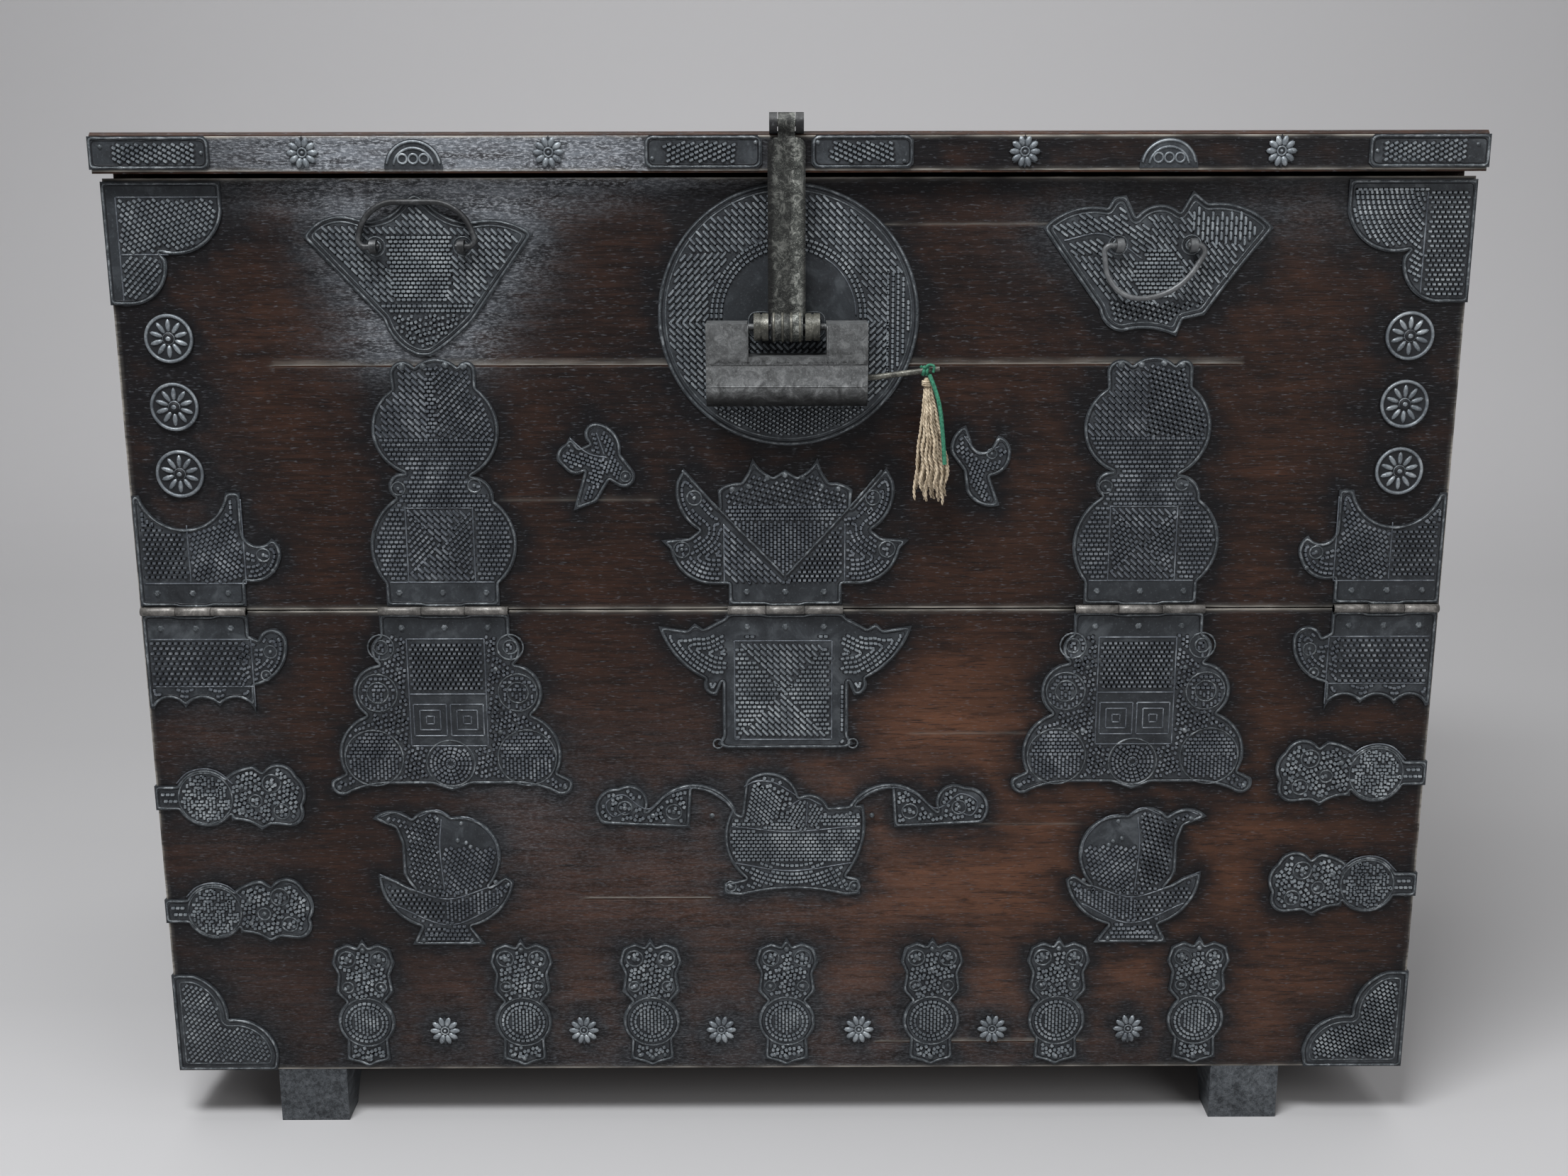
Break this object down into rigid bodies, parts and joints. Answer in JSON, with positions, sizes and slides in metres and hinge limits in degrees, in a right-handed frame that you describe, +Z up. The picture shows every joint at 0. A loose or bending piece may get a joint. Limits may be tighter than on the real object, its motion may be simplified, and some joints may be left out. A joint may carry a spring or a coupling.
{
  "type": "korean blanket chest",
  "caption": "Wooden chest with pierced iron fittings: drop-down upper front on iron hinges, hasp, sliding-bolt padlock with key and tassel, two bail handles, runners.",
  "frame": {"origin": "centre of the bounding box's underside, on the floor, measured without the key's cord, knot and tassel", "axes": "+X to the viewer's right across the front, +Y from front to back (the front looks to -Y), +Z up"},
  "size_m": [0.9064, 0.468, 0.7236],
  "materials": {
    "top_wood": "dark oiled, worn edges",
    "front_wood": "dark reddish brown, oiled",
    "side_wood": "dark oiled",
    "back_wood": "plain, unfinished",
    "foot_wood": "dark, rubbed",
    "sheet_iron": "dark blue-grey wrought sheet, rubbed on the high spots",
    "hasp_iron": "forged, mottled olive brown",
    "bail_iron": "forged, dark",
    "lock_iron": "smooth grey-green",
    "key_iron": "worn",
    "green_cord": "twisted cotton cord",
    "cream_thread": "twisted cotton threads"
  },
  "bodies": {
    "case": {"top_board": "top_wood", "left_side_board": "side_wood", "right_side_board": "side_wood", "back_board": "back_wood", "bottom_board": "back_wood", "lower_front_board": "front_wood", "left_runner": "foot_wood", "right_runner": "foot_wood", "left_pyramid_leaf": "sheet_iron", "right_pyramid_leaf": "sheet_iron", "roof_leaf": "sheet_iron", "left_outer_lower_leaf": "sheet_iron", "right_outer_lower_leaf": "sheet_iron", "hinge_pins": "sheet_iron", "case_nails": "sheet_iron", "hasp_strap": "hasp_iron", "hasp_pin": "hasp_iron", "left_upper_strap": "sheet_iron", "left_lower_strap": "sheet_iron", "right_upper_strap": "sheet_iron", "right_lower_strap": "sheet_iron", "left_base_corner": "sheet_iron", "right_base_corner": "sheet_iron", "left_top_end_plate": "sheet_iron", "right_top_end_plate": "sheet_iron", "top_inner_plates": "sheet_iron", "top_flowers": "sheet_iron", "top_half_rounds": "sheet_iron", "left_peach_plate": "sheet_iron", "right_peach_plate": "sheet_iron", "basket_plate": "sheet_iron", "owl_plates": "sheet_iron", "lower_flowers": "sheet_iron"},
    "door": {"door_board": "front_wood", "left_gourd_leaf": "sheet_iron", "right_gourd_leaf": "sheet_iron", "lotus_leaf": "sheet_iron", "left_outer_upper_leaf": "sheet_iron", "right_outer_upper_leaf": "sheet_iron", "door_nails": "sheet_iron", "left_door_corner": "sheet_iron", "right_door_corner": "sheet_iron", "door_rosettes": "sheet_iron", "left_handle_plate": "sheet_iron", "right_handle_plate": "sheet_iron", "left_handle_posts": "bail_iron", "right_handle_posts": "bail_iron", "door_birds": "sheet_iron", "hasp_staples": "hasp_iron", "lock_plate": "sheet_iron"},
    "hasp": {"hasp": "hasp_iron"},
    "padlock": {"padlock_body": "lock_iron"},
    "lock_bolt": {"padlock_bolt": "lock_iron"},
    "key": {"key": "key_iron", "key_knot": "green_cord", "key_cord": "green_cord", "tassel": "cream_thread"},
    "left_bail": {"left_bail": "bail_iron"},
    "right_bail": {"right_bail": "bail_iron"}
  },
  "joints": [
    {"name": "door_drop", "type": "hinge", "parent": "case", "child": "door", "pos_m": [0, -0.20525, 0.3915], "axis": [1, 0, 0], "range_deg": [0, 135]},
    {"name": "hasp_lift", "type": "hinge", "parent": "case", "child": "hasp", "pos_m": [-0.0022, -0.22025, 0.717], "axis": [-1, 0, 0], "range_deg": [0, 260]},
    {"name": "padlock_swing", "type": "hinge", "parent": "door", "child": "padlock", "pos_m": [-0.0022, -0.22025, 0.5871], "axis": [-1, 0, 0], "range_deg": [0, 60]},
    {"name": "bolt_draw", "type": "slide", "parent": "padlock", "child": "lock_bolt", "axis": [-1, 0, 0], "range_m": [0, 0.07]},
    {"name": "key_draw", "type": "slide", "parent": "padlock", "child": "key", "axis": [1, 0, 0], "range_m": [0, 0.068]},
    {"name": "left_bail_swing", "type": "hinge", "parent": "door", "child": "left_bail", "pos_m": [-0.2445, -0.21025, 0.639], "axis": [1, 0, 0], "range_deg": [0, 188]},
    {"name": "right_bail_swing", "type": "hinge", "parent": "door", "child": "right_bail", "pos_m": [0.241, -0.21025, 0.639], "axis": [-1, 0, 0], "range_deg": [0, 188]}
  ]
}
